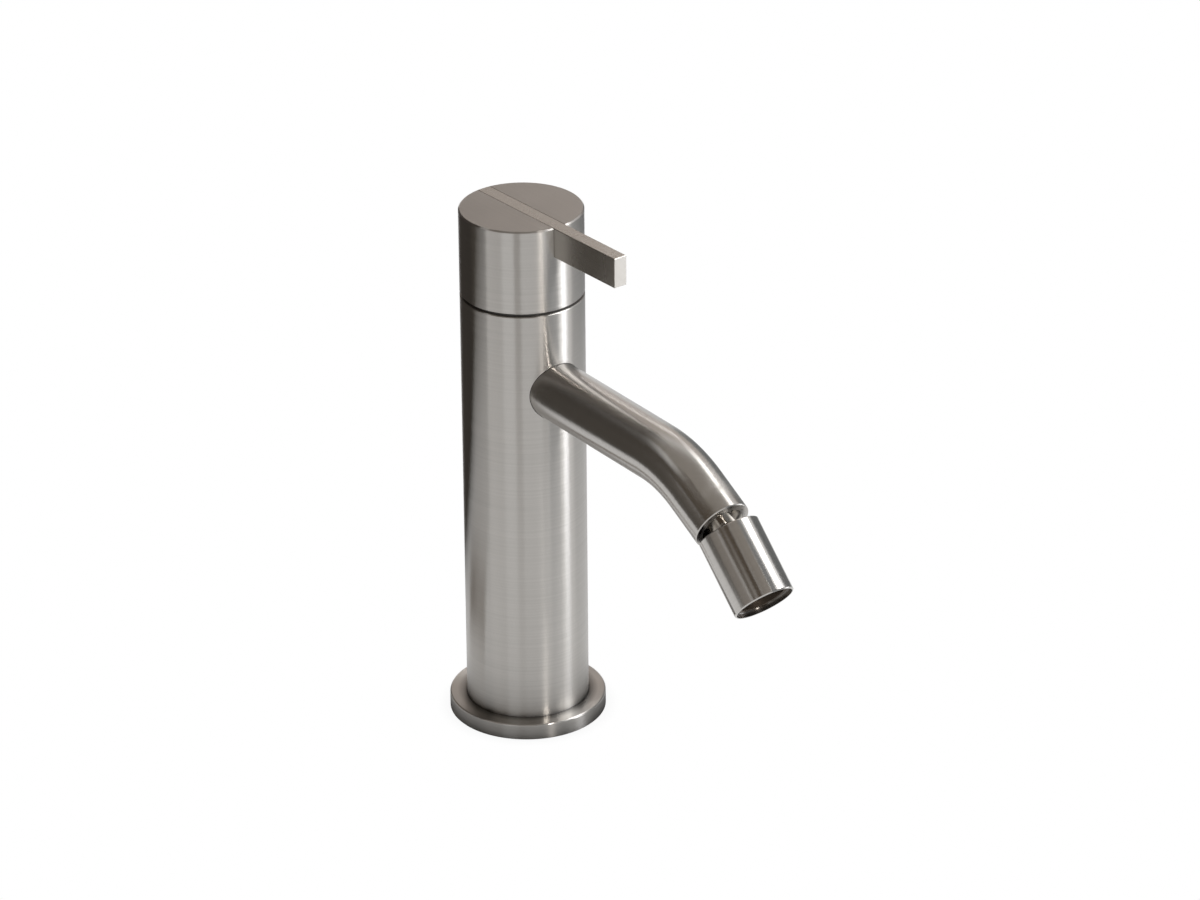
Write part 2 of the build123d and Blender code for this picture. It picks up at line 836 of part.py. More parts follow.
def make_tip_bush():
    """Threaded bush that closes the spout's end and carries the ball nipple."""
    recess_radius = tip_flange_radius + slip_gap
    recess_top = ball_reach + tip_flange_height + tip_washer_height
    bore = tip_shank_radius + slip_gap
    bush = turned(
        (recess_radius, ball_reach),
        (tip_bush_radius, ball_reach),
        (tip_bush_radius, ball_reach + tip_bush_length),
        (bore, ball_reach + tip_bush_length),
        (bore, recess_top),
        (recess_radius, recess_top),
    )
    return tip_frame * bush


def make_tip_washer():
    """Flat seal behind the ball nipple's flange."""
    low = ball_reach + tip_flange_height
    return tip_frame * ring(tip_flange_radius, tip_shank_radius + slip_gap, low, low + tip_washer_height)


def make_ball_nipple():
    """Ball on a neck, with a flange and a threaded shank, bored through."""
    below = block(2 * ball_radius, 2 * ball_radius, ball_radius, z=-ball_cut - ball_radius)
    nipple = Sphere(ball_radius) - below
    nipple += post(ball_neck_radius, 0, ball_reach)
    nipple += post(tip_flange_radius, ball_reach, ball_reach + tip_flange_height)
    nipple += post(tip_shank_radius, ball_reach, ball_reach + tip_shank_length)
    nipple -= post(ball_bore, -ball_radius, ball_reach + tip_shank_length + overrun)
    nipple -= hex_hole(ball_hex, -ball_cut - overrun, -ball_cut + ball_hex_depth)
    return tip_frame * nipple


def make_ball_seal():
    """Lower seat of the ball, which seals against it."""
    return tip_frame * zone(seat_inner, seat_outer, ball_seal_low_angle, ball_seal_high_angle)


def make_guide_ring():
    """Upper seat of the ball, which holds it in the sleeve."""
    return sleeve_frame * zone(seat_inner, seat_outer, guide_low_angle, guide_high_angle)


def make_ball_retainer():
    """Threaded ring above the ball."""
    top = sleeve_rise - retainer_inset
    retainer = post(sleeve_fill, retainer_low, top) - Sphere(socket_radius)
    for angle in (0, 90):
        slot = block(2 * sleeve_radius, retainer_slot_width, retainer_slot_depth + overrun,
                     z=top - retainer_slot_depth)
        retainer -= Rot(Z=angle) * slot
    return sleeve_frame * retainer


def make_ball_cup():
    """Cup below the ball, with the water's way in its middle."""
    cup = post(sleeve_fill, sleeve_lip_top, retainer_low - slip_gap) - Sphere(socket_radius)
    return sleeve_frame * (cup - post(cup_bore, sleeve_lip_top - overrun, 0))


def make_aerator_sleeve():
    """Round sleeve that tilts about the ball, with an inner lip between cup and aerator."""
    lip_radius = sleeve_bore - sleeve_lip_width
    mouth_radius = sleeve_radius - mouth_wall
    sleeve = turned(
        (sleeve_bore, sleeve_rise),
        (sleeve_radius - sleeve_edge, sleeve_rise),
        (sleeve_radius, sleeve_rise - sleeve_edge),
        (sleeve_radius, mouth_bottom + sleeve_edge),
        (sleeve_radius - sleeve_edge, mouth_bottom),
        (mouth_radius, mouth_bottom),
        (mouth_radius, mouth_floor),
        (sleeve_bore, mouth_floor),
        (sleeve_bore, sleeve_lip_bottom),
        (lip_radius, sleeve_lip_bottom),
        (lip_radius, sleeve_lip_top),
        (sleeve_bore, sleeve_lip_top),
    )
    return sleeve_frame * sleeve


def make_aerator_washer():
    """Flat seal between the sleeve's lip and the aerator."""
    inner = sleeve_fill - aerator_washer_width
    return sleeve_frame * ring(sleeve_fill, inner, cage_top, sleeve_lip_bottom)


def make_aerator_cage():
    """Plastic body of the aerator, with six-sided cells in its floor."""
    ledge = cage_top - flow_disc_height
    floor_top = cage_bottom + cage_floor
    cage = post(sleeve_fill, cage_bottom, cage_top)
    cage -= post(cage_bore, ledge, cage_top + overrun)
    cage -= post(screen_radius, floor_top, cage_top)
    cell = RegularPolygon(cell_radius, 6)
    cells = [Pos(x, y, cage_bottom - overrun) * extrude(cell, cage_floor + 2 * overrun)
             for x, y in packed_points(cell_pitch, screen_radius - cell_radius)]
    return sleeve_frame * (cage - cells)


def make_flow_disc():
    """Plate with small holes that breaks the water into jets."""
    points = packed_points(flow_hole_pitch, screen_radius - flow_hole_radius)
    return sleeve_frame * sieve(cage_bore - slip_gap, Circle(flow_hole_radius), points,
                                cage_top - flow_disc_height, cage_top)


def make_mesh_screens():
    """Screens with raised rims, stacked on the floor of the cage."""
    radius = screen_radius - slip_gap
    points = packed_points(screen_hole_pitch, radius - screen_rim - screen_hole_radius)
    screen = sieve(radius, Circle(screen_hole_radius), points, 0, screen_floor)
    screen += ring(radius, radius - screen_rim, screen_floor, screen_height)
    floor_top = cage_bottom + cage_floor
    stack = [Pos(0, 0, floor_top + number * screen_height) * screen for number in range(screen_count)]
    return Compound([sleeve_frame * piece for piece in stack])


def make_aerator_ring():
    """Threaded ring that holds the aerator, set back in the sleeve's mouth."""
    return sleeve_frame * ring(sleeve_fill, sleeve_fill - aerator_ring_wall, mouth_floor, cage_bottom)


pieces = {
    "base_flange": make_base_flange(),
    "base_seal": make_base_seal(),
    "body_shell": make_body_shell(),
    "base_manifold": make_base_manifold(),
    "riser_cold": make_riser(cold_angle),
    "riser_hot": make_riser(hot_angle),
    "riser_seals": make_riser_seals(),
    "valve_body": make_valve_body(),
    "cartridge_base": make_cartridge_base(),
    "port_seals": make_port_seals(),
    "fixed_disc": make_fixed_disc(),
    "moving_disc": make_moving_disc(),
    "disc_driver": make_disc_driver(),
    "cartridge_housing": make_cartridge_housing(),
    "cartridge_stem": make_cartridge_stem(),
    "stem_seals": make_stem_seals(),
    "cartridge_nut": make_cartridge_nut(),
    "stop_ring": make_stop_ring(),
    "glide_ring": make_glide_ring(),
    "handle_cap": make_handle_cap(),
    "lever_bar": make_lever_bar(),
    "lever_screws": make_lever_screws(),
    "spline_insert": make_spline_insert(),
    "handle_screw": make_handle_screw(),
    "screw_plug": make_screw_plug(),
    "spout_tube": make_spout_tube(),
    "spout_nipple": make_spout_nipple(),
    "spout_seals": make_spout_seals(),
    "tip_bush": make_tip_bush(),
    "tip_washer": make_tip_washer(),
    "ball_nipple": make_ball_nipple(),
    "ball_seal": make_ball_seal(),
    "guide_ring": make_guide_ring(),
    "ball_retainer": make_ball_retainer(),
    "ball_cup": make_ball_cup(),
    "aerator_sleeve": make_aerator_sleeve(),
    "aerator_washer": make_aerator_washer(),
    "aerator_cage": make_aerator_cage(),
    "flow_disc": make_flow_disc(),
    "mesh_screens": make_mesh_screens(),
    "aerator_ring": make_aerator_ring(),
}

# The handle stands a little open at rest, so all its pieces are turned by that much
for name in ("moving_disc", "disc_driver", "cartridge_stem", "stem_seals", "handle_cap", "lever_bar",
             "lever_screws", "spline_insert", "handle_screw", "screw_plug"):
    pieces[name] = Rot(Z=handle_rest) * pieces[name]

os.makedirs("parts", exist_ok=True)
for name, piece in pieces.items():
    export_step(piece, f"parts/{name}.step")
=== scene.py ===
import bpy
import json
import numpy as np
from mathutils import Matrix, Vector

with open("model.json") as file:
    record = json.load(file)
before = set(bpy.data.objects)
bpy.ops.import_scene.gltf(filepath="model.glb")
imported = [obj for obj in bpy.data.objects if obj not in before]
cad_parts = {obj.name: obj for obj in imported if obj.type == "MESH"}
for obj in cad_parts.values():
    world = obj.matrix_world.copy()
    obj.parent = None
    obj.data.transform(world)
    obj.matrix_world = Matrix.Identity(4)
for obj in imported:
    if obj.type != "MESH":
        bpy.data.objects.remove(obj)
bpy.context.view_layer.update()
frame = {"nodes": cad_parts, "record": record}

# Camera, in the part's own frame. The spout points towards -Y.
VIEW_TURN = -34.9
VIEW_HEIGHT = 26.011
VIEW_ROLL = -0.45
VIEW_DISTANCE = 1.8325
FOCAL_PIXELS = 5677.5
IMAGE_WIDTH = 1200
AIM_POINT = (0.0, 0.0, 0.090)
AIM_RIGHT = -75.3
AIM_DOWN = 7.1
SENSOR_WIDTH = 36.0


def linear(code):
    """Linear colour of an sRGB hex value such as 9c988f."""
    parts = np.array([int(code[i:i + 2], 16) for i in (0, 2, 4)]) / 255
    low = parts / 12.92
    high = ((parts + 0.055) / 1.055) ** 2.4
    return tuple(np.where(parts <= 0.04045, low, high)) + (1.0,)


def add_node(tree, kind, inputs=None, **settings):
    """A node with its settings and its inputs, where an input is a value or another node's output."""
    node = tree.nodes.new(kind)
    for name, value in settings.items():
        setattr(node, name, value)
    for name, value in (inputs or {}).items():
        if isinstance(value, bpy.types.NodeSocket):
            tree.links.new(value, node.inputs[name])
        else:
            node.inputs[name].default_value = value
    return node


def new_material(name):
    """An empty material and its node tree."""
    material = bpy.data.materials.new(name)
    material.use_nodes = True
    material.node_tree.nodes.clear()
    return material, material.node_tree


def finish_material(tree, shader):
    """Sends a shader to the material's output."""
    add_node(tree, "ShaderNodeOutputMaterial", {"Surface": shader.outputs[0]})


# Brush lines: how many to the metre across them, how fast they wander and how far their tone varies
LINE_COUNT = 1600.0
LINE_WANDER = 14.0
LINE_TONE = 0.04
# Parts of the noise's range over which the lines go from dark to light, and from one lean to the other
TONE_SPAN = (0.3, 0.7)
LEAN_SPAN = (0.25, 0.75)
# Patches of uneven gloss about 14 mm wide on brushed steel, and mottling of about 3 mm on inner pieces
PATCH_SCALE = 70.0
PATCH_GLOSS = 0.12
MOTTLE_SCALE = 300.0
MOTTLE_GLOSS = 0.15
# A surface whose normal lies this close to the axis is a flat top
TOP_FACING = 0.9


def turned_steel(name, colour, roughness, axis=(0, 0, 1), centre=(0, 0, 0), anisotropy=1.0,
                 top_brush=None, lean=0.02, painted_shade=None):
    """Stainless steel brushed while it turned: fine lines run round an axis, on its flat ends as rings.

    The lines spread each reflection across themselves, so it becomes a long band along the axis.
    The pattern follows height along the axis plus radius from it, so that it changes across the lines
    on the sides and on the ends alike. A flat top may have straight lines along top_brush instead.
    In a bore or a corner the steel's tone can be darkened as painted shade: the argument for it gives the
    radius where the shade is darkest, the radius where the steel has its full tone, and the darkest share
    of that tone."""
    material, tree = new_material(name)
    place = add_node(tree, "ShaderNodeTexCoord")
    arm = add_node(tree, "ShaderNodeVectorMath", {0: place.outputs["Object"], 1: centre},
                   operation="SUBTRACT")
    height = add_node(tree, "ShaderNodeVectorMath", {0: arm.outputs[0], 1: axis}, operation="DOT_PRODUCT")
    rise = add_node(tree, "ShaderNodeVectorMath", {0: axis, "Scale": height.outputs["Value"]},
                    operation="SCALE")
    outward = add_node(tree, "ShaderNodeVectorMath", {0: arm.outputs[0], 1: rise.outputs[0]},
                       operation="SUBTRACT")
    radius = add_node(tree, "ShaderNodeVectorMath", {0: outward.outputs[0]}, operation="LENGTH")
    across = add_node(tree, "ShaderNodeMath", {0: height.outputs["Value"], 1: radius.outputs["Value"]},
                      operation="ADD")
    brush = add_node(tree, "ShaderNodeVectorMath", {0: axis, 1: outward.outputs[0]},
                     operation="CROSS_PRODUCT")
    lines, along = across.outputs[0], brush.outputs[0]
    if top_brush:
        tilt = add_node(tree, "ShaderNodeVectorMath", {0: place.outputs["Normal"], 1: axis},
                        operation="DOT_PRODUCT")
        top = add_node(tree, "ShaderNodeMath", {0: tilt.outputs["Value"], 1: TOP_FACING},
                       operation="GREATER_THAN")
        side_step = tuple(np.cross(axis, top_brush))
        step = add_node(tree, "ShaderNodeVectorMath", {0: place.outputs["Object"], 1: side_step},
                        operation="DOT_PRODUCT")
        mixed_lines = add_node(tree, "ShaderNodeMix", {
            0: top.outputs[0], 2: lines, 3: step.outputs["Value"]})
        mixed_brush = add_node(tree, "ShaderNodeMix", {0: top.outputs[0], 4: along}, data_type="VECTOR")
        mixed_brush.inputs[5].default_value = top_brush
        lines, along = mixed_lines.outputs[0], mixed_brush.outputs[1]
    spread = add_node(tree, "ShaderNodeVectorMath", {0: along, 1: place.outputs["Normal"]},
                      operation="CROSS_PRODUCT")
    shade = None
    # Painted shade, set by radius from the axis, for a bore or a corner
    if painted_shade:
        shade = add_node(tree, "ShaderNodeMapRange", {"Value": radius.outputs["Value"], "From Min": painted_shade[0],
                                                      "From Max": painted_shade[1], "To Min": painted_shade[2]}).outputs[0]
    brushed_shader(tree, colour, roughness, anisotropy, LINE_TONE, outward.outputs[0], lines,
                   axis, spread.outputs[0], along, lean, shade)
    return material


def straight_steel(name, colour, roughness, brush, across, anisotropy, line_tone, lean):
    """Stainless steel brushed in straight lines: brush is their direction and across is square to it.

    Each reflection spreads across the lines."""
    material, tree = new_material(name)
    place = add_node(tree, "ShaderNodeTexCoord")
    step = add_node(tree, "ShaderNodeVectorMath", {0: place.outputs["Object"], 1: across},
                    operation="DOT_PRODUCT")
    drop = add_node(tree, "ShaderNodeVectorMath", {0: place.outputs["Object"], 1: (0, 0, 1)},
                    operation="DOT_PRODUCT")
    count = add_node(tree, "ShaderNodeMath", {0: step.outputs["Value"], 1: drop.outputs["Value"]},
                     operation="ADD")
    spread = add_node(tree, "ShaderNodeVectorMath", {0: brush, 1: place.outputs["Normal"]},
                      operation="CROSS_PRODUCT")
    brushed_shader(tree, colour, roughness, anisotropy, line_tone, place.outputs["Object"],
                   count.outputs[0], across, spread.outputs[0], brush, lean)
    return material


def brushed_shader(tree, colour, roughness, anisotropy, line_tone, along, across, line_axis, spread, brush,
                   most_lean, shade=None):
    """Steel shader with brush lines that are long where along changes and fine where across changes.

    Noise is read at along times a small factor plus line_axis times across times a large one. It gives
    the lines' tone and a small tilt of the surface along the brush, which frays the reflections' edges.
    Real lines are about 0.05 mm apart. They are drawn 0.6 mm apart, because finer ones don't show.
    spread is the tangent: reflections grow long square to it. shade is a share of the tone."""
    slow = add_node(tree, "ShaderNodeVectorMath", {0: along, "Scale": LINE_WANDER}, operation="SCALE")
    fast = add_node(tree, "ShaderNodeMath", {0: across, 1: LINE_COUNT}, operation="MULTIPLY")
    lift = add_node(tree, "ShaderNodeVectorMath", {0: line_axis, "Scale": fast.outputs[0]},
                    operation="SCALE")
    where = add_node(tree, "ShaderNodeVectorMath", {0: slow.outputs[0], 1: lift.outputs[0]},
                     operation="ADD")
    lines = add_node(tree, "ShaderNodeTexNoise", {"Vector": where.outputs[0], "Scale": 1.0, "Detail": 3.0,
                                                  "Roughness": 0.6})
    cloud = add_node(tree, "ShaderNodeTexNoise", {"Vector": along, "Scale": PATCH_SCALE, "Detail": 2.0})
    base = np.array(linear(colour))
    dark = tuple(base[:3] * (1 - line_tone)) + (1.0,)
    light = tuple(np.minimum(base[:3] * (1 + line_tone), 1)) + (1.0,)
    contrast = add_node(tree, "ShaderNodeMapRange", {
        "Value": lines.outputs["Fac"], "From Min": TONE_SPAN[0], "From Max": TONE_SPAN[1]})
    tone = add_node(tree, "ShaderNodeMix", {"Factor": contrast.outputs[0]}, data_type="RGBA")
    tone.inputs["A"].default_value = dark
    tone.inputs["B"].default_value = light
    tone = tone.outputs["Result"]
    # Painted shade: the tone is scaled down in bores and corners
    if shade:
        painted_shade_tone = add_node(tree, "ShaderNodeVectorMath", {0: tone, "Scale": shade}, operation="SCALE")
        tone = painted_shade_tone.outputs[0]
    sheen = add_node(tree, "ShaderNodeMapRange", {
        "Value": cloud.outputs["Fac"], "To Min": roughness * (1 - PATCH_GLOSS),
        "To Max": roughness * (1 + PATCH_GLOSS)})
    lean = add_node(tree, "ShaderNodeMapRange", {
        "Value": lines.outputs["Fac"], "From Min": LEAN_SPAN[0], "From Max": LEAN_SPAN[1],
        "To Min": -most_lean, "To Max": most_lean})
    level = add_node(tree, "ShaderNodeVectorMath", {0: brush}, operation="NORMALIZE")
    level_world = add_node(tree, "ShaderNodeVectorTransform", {"Vector": level.outputs[0]},
                           vector_type="VECTOR", convert_from="OBJECT", convert_to="WORLD")
    fray = add_node(tree, "ShaderNodeVectorMath", {0: level_world.outputs[0], "Scale": lean.outputs[0]},
                    operation="SCALE")
    surface = add_node(tree, "ShaderNodeNewGeometry")
    tilted = add_node(tree, "ShaderNodeVectorMath", {0: surface.outputs["Normal"], 1: fray.outputs[0]},
                      operation="ADD")
    facing = add_node(tree, "ShaderNodeVectorMath", {0: tilted.outputs[0]}, operation="NORMALIZE")
    grain = add_node(tree, "ShaderNodeVectorTransform", {"Vector": spread}, vector_type="VECTOR",
                     convert_from="OBJECT", convert_to="WORLD")
    shader = add_node(tree, "ShaderNodeBsdfPrincipled", {
        "Base Color": tone, "Metallic": 1.0, "Roughness": sheen.outputs[0],
        "Anisotropic": anisotropy, "Tangent": grain.outputs[0], "Normal": facing.outputs[0]})
    finish_material(tree, shader)


def plain_material(name, colour, roughness, metallic=0.0):
    """An inner piece's finish, with faint mottling from casting or moulding."""
    material, tree = new_material(name)
    place = add_node(tree, "ShaderNodeTexCoord")
    mottle = add_node(tree, "ShaderNodeTexNoise", {
        "Vector": place.outputs["Object"], "Scale": MOTTLE_SCALE})
    tone = add_node(tree, "ShaderNodeMapRange", {
        "Value": mottle.outputs["Fac"], "To Min": roughness * (1 - MOTTLE_GLOSS),
        "To Max": roughness * (1 + MOTTLE_GLOSS)})
    shader = add_node(tree, "ShaderNodeBsdfPrincipled", {
        "Base Color": linear(colour), "Metallic": metallic, "Roughness": tone.outputs[0]})
    finish_material(tree, shader)
    return material


STEEL_COLOUR = "b4b1ad"
SLEEVE_AXIS = (0.0, -0.7396, -0.6730)
SPOUT_AXIS = (0, -1, 0)
SPOUT_CENTRE = (0, 0, 0.12103)
LEVER_LINE = (0.0576, -0.9983, 0.0)
# A little off the lever's line, so that the brush isn't square to the lever's end
LEVER_BRUSH = (0.078, -1, 0.05)
BALL_CENTRE = (0.0, -0.11344, 0.10651)
# Painted shade on the foot in the corner under the column, and in the sleeve's bore: the radii from which
# to which it fades out, and the share of the full tone that each starts with
FOOT_PAINTED_SHADE = (0.0202, 0.0232, 0.3)
SLEEVE_PAINTED_SHADE = (0.0088, 0.0097, 0.2)

# Brushed round with a coarse pad: reflections stand as long upright bands with slightly frayed sides
satin_steel = turned_steel("round_brushed_stainless_steel", STEEL_COLOUR, 0.29)
# The same pad, with painted shade as a dark ring in the corner under the column
foot_steel = turned_steel("round_brushed_foot_steel", STEEL_COLOUR, 0.29, painted_shade=FOOT_PAINTED_SHADE)
# Sides brushed round, top brushed straight in one pass with the lever: the top shows one even tone
cap_steel = turned_steel("round_brushed_cap_steel", STEEL_COLOUR, 0.29, top_brush=LEVER_LINE)
# Brushed round with a fine pad on a small radius: close to a mirror, with narrow bands and painted shade in
# the bore
sleeve_steel = turned_steel("round_brushed_sleeve_steel", STEEL_COLOUR, 0.19, SLEEVE_AXIS, BALL_CENTRE,
                            0.6, lean=0.004, painted_shade=SLEEVE_PAINTED_SHADE)
# Flat bar brushed along its length: each face has one soft tone of its own
lever_steel = straight_steel("long_brushed_lever_steel", "b9b5af", 0.27, LEVER_BRUSH, (1, 0, 0), 0.95,
                             0.02, 0.003)
# Tube brushed round with a fine pad: dark and light bands run along it and through its bend
spout_steel = turned_steel("round_brushed_spout_steel", STEEL_COLOUR, 0.24, SPOUT_AXIS, SPOUT_CENTRE, 0.8)
# Polished ball and rings: small sharp highlights
polished_steel = plain_material("polished_stainless_steel", "c4c0ba", 0.16, 1.0)
# Woven wire deep in the mouth, coloured dark brown as painted shade
mesh_steel = plain_material("mesh_steel_with_painted_shade", "4a4036", 0.4, 1.0)
# Turned and left rough, so softer than the sleeve, and coloured darker as painted shade in the mouth
ring_steel = plain_material("turned_ring_steel_with_painted_shade", "6a6056", 0.5, 1.0)
# Plain cold-headed screws: even grey
steel_screws = plain_material("steel_screws", "8e8d8a", 0.35, 1.0)
# Turned from bar: warm yellow with a soft shine
machined_brass = plain_material("machined_brass", "c9a860", 0.3, 1.0)
# Moulded plastics: a broad faint sheen and no mirror
black_acetal = plain_material("black_acetal", "2a2622", 0.45)
white_acetal = plain_material("white_acetal", "e6e4de", 0.4)
grey_acetal = plain_material("grey_acetal", "77787a", 0.45)
# Ground flat: creamy white with some shine
alumina = plain_material("ground_alumina", "ece8dd", 0.25)
# Moulded rubber: nearly black and dull
seal_rubber = plain_material("seal_rubber", "161616", 0.7)

slot_materials = {
    "steel_satin": satin_steel,
    "steel_bright": polished_steel,
    "steel_screw": steel_screws,
    "brass": machined_brass,
    "black_plastic": black_acetal,
    "white_plastic": white_acetal,
    "grey_plastic": grey_acetal,
    "disc_ceramic": alumina,
    "rubber": seal_rubber,
}

for entry in frame["record"]["subparts"]:
    node = frame["nodes"][entry["node"]]
    node.data.materials.clear()
    node.data.materials.append(slot_materials[entry["material_slot"]])

# Nodes whose finish differs from their slot's
finish_choices = {
    "base_flange": foot_steel,
    "handle_cap": cap_steel,
    "aerator_sleeve": sleeve_steel,
    "lever_bar": lever_steel,
    "spout_tube": spout_steel,
    "mesh_screens": mesh_steel,
    "aerator_ring": ring_steel,
    # The cage takes black plastic in place of its slot's grey, as painted shade in the mouth
    "aerator_cage": black_acetal,
}
for name, material in finish_choices.items():
    frame["nodes"][name].data.materials[0] = material


FLOOR_REACH = 6.0
# Shade where the part touches the floor: how far it reaches, and its tone for the camera
CONTACT_REACH = 0.005
CONTACT_TONE = 0.88
# Painted shadow of the foot on the floor that the steel reflects: darkest at the first distance from the
# axis, white from the second
NEAR_FOOT = (0.028, 0.048)
NEAR_FOOT_TONE = 0.1


def seen_rays(tree):
    """Light Path node, and a factor that is 1 for camera, glossy and transmission rays."""
    ray = add_node(tree, "ShaderNodeLightPath")
    seen = add_node(tree, "ShaderNodeMath", {
        0: ray.outputs["Is Camera Ray"], 1: ray.outputs["Is Glossy Ray"]}, operation="MAXIMUM")
    seen = add_node(tree, "ShaderNodeMath", {0: seen.outputs[0], 1: ray.outputs["Is Transmission Ray"]},
                    operation="MAXIMUM")
    return ray, seen.outputs[0]


def stage_floor():
    """Large pale floor, white to the camera and in reflections, with shade where the part touches it.

    In reflections the floor also gets darker towards the axis. That is painted by distance, and stands
    for the foot's shadow, which a floor that gives off its own white doesn't catch."""
    mesh = bpy.data.meshes.new("floor")
    corners = np.array([(-1, -1, 0), (1, -1, 0), (1, 1, 0), (-1, 1, 0)]) * FLOOR_REACH
    mesh.from_pydata(corners.tolist(), [], [(0, 1, 2, 3)])
    floor = bpy.data.objects.new("floor", mesh)
    bpy.context.collection.objects.link(floor)
    material, tree = new_material("white_paper_floor")
    ray, seen = seen_rays(tree)
    paper = add_node(tree, "ShaderNodeBsdfDiffuse", {"Color": linear("f4f4f2")})
    cover = add_node(tree, "ShaderNodeAmbientOcclusion", {"Color": (1, 1, 1, 1), "Distance": CONTACT_REACH},
                     samples=8)
    contact = add_node(tree, "ShaderNodeMapRange", {
        "Value": ray.outputs["Is Camera Ray"], "To Min": 0.0, "To Max": CONTACT_TONE})
    shade = add_node(tree, "ShaderNodeMapRange", {
        "Value": cover.outputs["AO"], "To Min": contact.outputs[0], "To Max": 1.0})
    place = add_node(tree, "ShaderNodeTexCoord")
    distance = add_node(tree, "ShaderNodeVectorMath", {0: place.outputs["Object"]}, operation="LENGTH")
    near = add_node(tree, "ShaderNodeMapRange", {
        "Value": distance.outputs["Value"], "From Min": NEAR_FOOT[0], "From Max": NEAR_FOOT[1],
        "To Min": NEAR_FOOT_TONE, "To Max": 1.0})
    near = add_node(tree, "ShaderNodeMath", {0: near.outputs[0], 1: ray.outputs["Is Camera Ray"]},
                    operation="MAXIMUM")
    shade = add_node(tree, "ShaderNodeMath", {0: shade.outputs[0], 1: near.outputs[0]},
                     operation="MULTIPLY")
    white = add_node(tree, "ShaderNodeEmission", {"Color": (1, 1, 1, 1), "Strength": shade.outputs[0]})
    mixed = add_node(tree, "ShaderNodeMixShader", {0: seen, 1: paper.outputs[0], 2: white.outputs[0]})
    finish_material(tree, mixed)
    mesh.materials.append(material)


def soft_box(name, place, width, height, power, aim=AIM_POINT, tint="ffffff"):
    """Rectangular lamp that faces a point."""
    lamp = bpy.data.lights.new(name, "AREA")
    lamp.shape = "RECTANGLE"
    lamp.size = width
    lamp.size_y = height
    lamp.energy = power
    lamp.color = linear(tint)[:3]
    box = bpy.data.objects.new(name, lamp)
    box.location = place
    box.rotation_euler = (Vector(aim) - Vector(place)).to_track_quat("-Z", "Y").to_euler()
    box.visible_camera = False
    bpy.context.collection.objects.link(box)


def studio_world():
    """Soft surroundings, white to the camera and in reflections."""
    world = bpy.data.worlds.new("studio")
    bpy.context.scene.world = world
    world.use_nodes = True
    tree = world.node_tree
    tree.nodes.clear()
    seen = seen_rays(tree)[1]
    white = add_node(tree, "ShaderNodeBackground", {"Color": (1, 1, 1, 1), "Strength": 1.0})
    soft = add_node(tree, "ShaderNodeBackground", {"Color": linear("e0e0e0"), "Strength": 0.7})
    mixed = add_node(tree, "ShaderNodeMixShader", {0: seen, 1: soft.outputs[0], 2: white.outputs[0]})
    add_node(tree, "ShaderNodeOutputWorld", {"Surface": mixed.outputs[0]})


def view_spin():
    """Matrix that turns right, away and up as the camera sees them into the part's frame."""
    turn = np.radians(VIEW_TURN)
    return np.array(((np.cos(turn), -np.sin(turn), 0), (np.sin(turn), np.cos(turn), 0), (0, 0, 1)))


def photo_camera():
    """Camera at the photograph's angle, far away with a long lens."""
    up_angle = np.radians(VIEW_HEIGHT)
    roll = np.radians(VIEW_ROLL)
    forward = np.array((0, np.cos(up_angle), -np.sin(up_angle)))
    right = np.array((1.0, 0.0, 0.0))
    up = np.cross(right, forward)
    right, up = np.cos(roll) * right + np.sin(roll) * up, -np.sin(roll) * right + np.cos(roll) * up
    ray = forward + right * AIM_RIGHT / FOCAL_PIXELS - up * AIM_DOWN / FOCAL_PIXELS
    place = np.array(AIM_POINT) - ray / np.linalg.norm(ray) * VIEW_DISTANCE
    spin = view_spin()
    axes = spin @ np.column_stack((right, up, -forward))
    camera = bpy.data.cameras.new("camera")
    camera.sensor_width = SENSOR_WIDTH
    camera.lens = FOCAL_PIXELS * SENSOR_WIDTH / IMAGE_WIDTH
    camera.clip_end = 50.0
    holder = bpy.data.objects.new("camera", camera)
    bpy.context.collection.objects.link(holder)
    holder.matrix_world = Matrix.Translation(spin @ place) @ Matrix(axes.tolist()).to_4x4()
    bpy.context.scene.camera = holder


def card(name, corners, faces, colour):
    """Lit card through points given as the camera sees them: right, away and up.
    Its colour is what the steel reflects, and the camera doesn't see it."""
    spin = view_spin()
    mesh = bpy.data.meshes.new(name)
    mesh.from_pydata((np.array(corners) @ spin.T).tolist(), [], faces)
    sheet = bpy.data.objects.new(name, mesh)
    bpy.context.collection.objects.link(sheet)
    material, tree = new_material(name + "_paper")
    finish_material(tree, add_node(tree, "ShaderNodeEmission", {"Color": linear(colour), "Strength": 1.0}))
    mesh.materials.append(material)
    sheet.visible_camera = False


def flag(name, points, low, high, colour):
    """Upright card that stands through points on the floor, between two heights."""
    line = np.array(points)
    count = len(line)
    foot = np.column_stack((line, np.full(count, low)))
    head = np.column_stack((line, np.full(count, high)))
    first = np.arange(count - 1)
    faces = np.column_stack((first, first + 1, first + 1 + count, first + count))
    card(name, np.concatenate((foot, head)), faces.tolist(), colour)


def seen_place(right, away, height):
    """Part-frame place of a point given as the camera sees it."""
    return tuple((view_spin() @ (right, away, height)).tolist())


# Low edge of the cards that stand on the floor: just clear of it, so that they leave no shade there
CARD_FOOT = 0.006

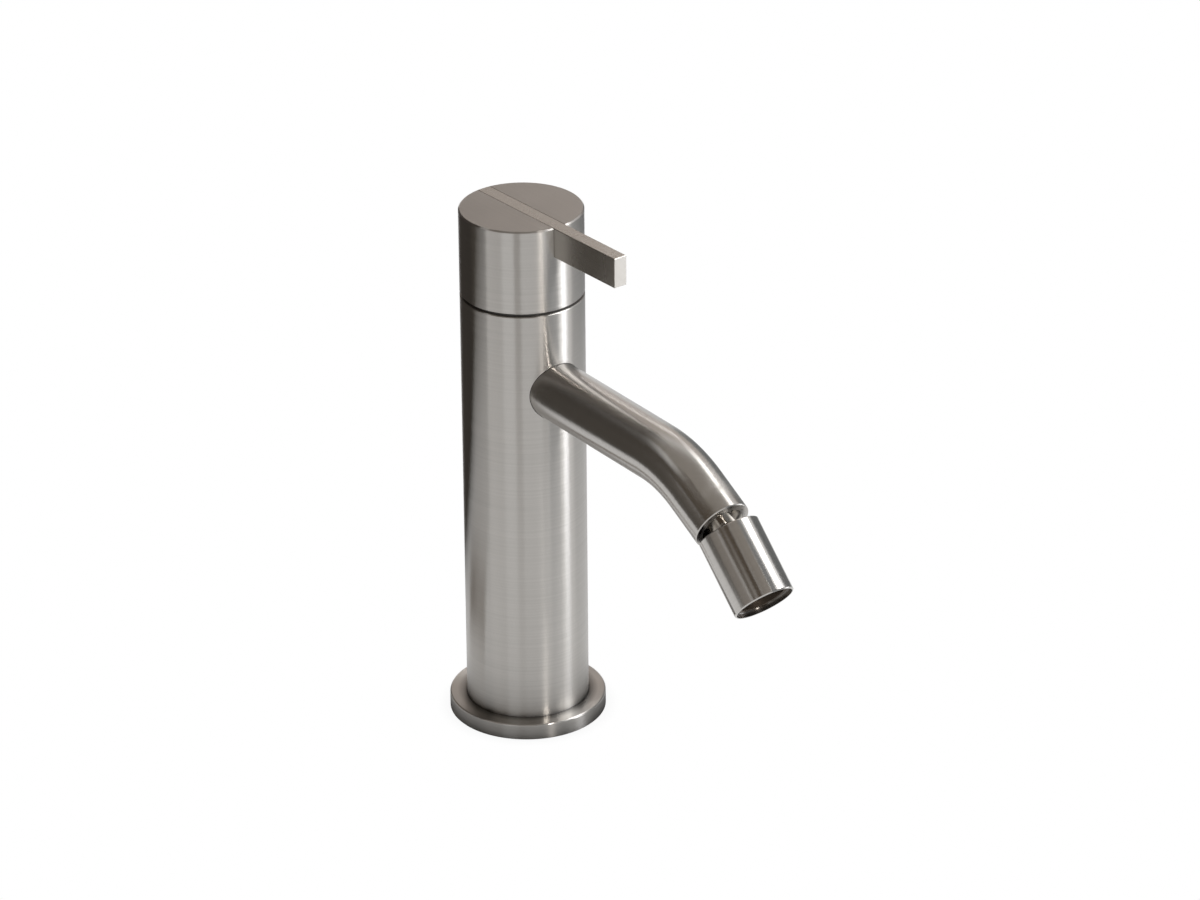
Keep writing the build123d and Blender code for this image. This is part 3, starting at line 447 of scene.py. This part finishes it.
# Upright cards, which give the steel its bands. Each has points on the floor as the camera sees them,
# right and away in metres, then its low edge, its high edge and its colour. The comments say what each
# darkens in the photo's view, and below what each lamp lights.
flags = {
    # Strip inside the left edge of column and cap, lower side of the spout, side of the lever
    "left_flag": ([(-1.0, -0.46), (-0.334, -0.155), (-0.274, -0.034), (-0.223, 0.027)],
                  CARD_FOOT, 0.4, "5c5751"),
    # Left edge of column and cap, side of the spout up to its bend, side of the lever
    "back_left_flag": ([(-0.223, 0.027), (-0.165, 0.057), (-0.055, 0.095)], CARD_FOOT, 0.4, "494541"),
    # Strip low on the column's left
    "low_left_flag": ([(-0.067, -0.022), (-0.072, 0.004), (-0.063, 0.030)], CARD_FOOT, 0.03, "968d83"),
    # Strip left of the column's middle, left side of the sleeve
    "mid_left_flag": ([(-0.80, -0.30), (-0.42, -0.62)], CARD_FOOT, 0.42, "a49e98"),
    # Band left of the sleeve's middle, lower side of the spout's end
    "high_left_flag": ([(-0.75, -0.27), (-0.05, -0.80)], 0.42, 1.4, "665c51"),
    # Line along the top of the spout's root, faint strip right of the column's middle
    "high_front_flag": ([(-0.18, -1.29), (1.13, -0.65)], 0.35, 1.4, "5c5248"),
    # Thin line down the column's middle
    "front_flag": ([(-0.067, -0.293), (-0.010, -0.300)], CARD_FOOT, 0.3, "b4b0ac"),
    # Strip left of the column's white band, line on the sleeve
    "front_right_flag": ([(0.174, -0.18), (0.228, -0.102)], CARD_FOOT, 0.35, "9c9fa2"),
    # Right edges of column, cap, spout and sleeve
    "right_flag": ([(0.34, 0.04), (0.33, 0.12), (0.12, 0.33)], CARD_FOOT, 0.25, "858788"),
    # Tops of cap, lever and foot
    "back_flag": ([(-1.0, 1.4), (1.2, 1.4)], 0.45, 2.0, "d2c8c1"),
}

stage_floor()
studio_world()
photo_camera()
for name, (points, low, high, colour) in flags.items():
    flag(name, points, low, high, colour)
# Grey ceiling: top of the spout's end, right half of the sleeve
card("overhead_card", [(-1.0, -1.1, 1.4), (0.85, -1.1, 1.4), (0.85, 0.5, 1.4), (-1.0, 0.5, 1.4)],
     [(0, 1, 2, 3)], "aca69f")
# White band down the column and the cap, end of the lever
soft_box("right_box", seen_place(0.244, -0.050, 0.10), 0.05, 0.20, 0.078, tint="f4f8ff")
# White band of the sleeve, top of the spout's root
soft_box("top_box", seen_place(0.74, -0.12, 0.82), 0.75, 0.42, 5.5)
# Light band on the spout's end
soft_box("far_box", seen_place(0.50, 0.46, 0.95), 0.32, 0.28, 0.6)
# Light far edge of the spout's straight run, top of the lever
soft_box("back_box", seen_place(0.15, 1.3, 0.99), 0.40, 0.08, 0.4)
# Bright streak down the cap and on to the spout's root
soft_box("front_box", seen_place(0.57, -0.82, 0.55), 0.12, 0.25, 2.4, tint="fffaf5")
# End of the lever
soft_box("end_box", seen_place(0.30, -0.13, 0.035), 0.16, 0.06, 0.044, (0.03, -0.03, 0.17))
bpy.context.scene.view_settings.view_transform = "Standard"
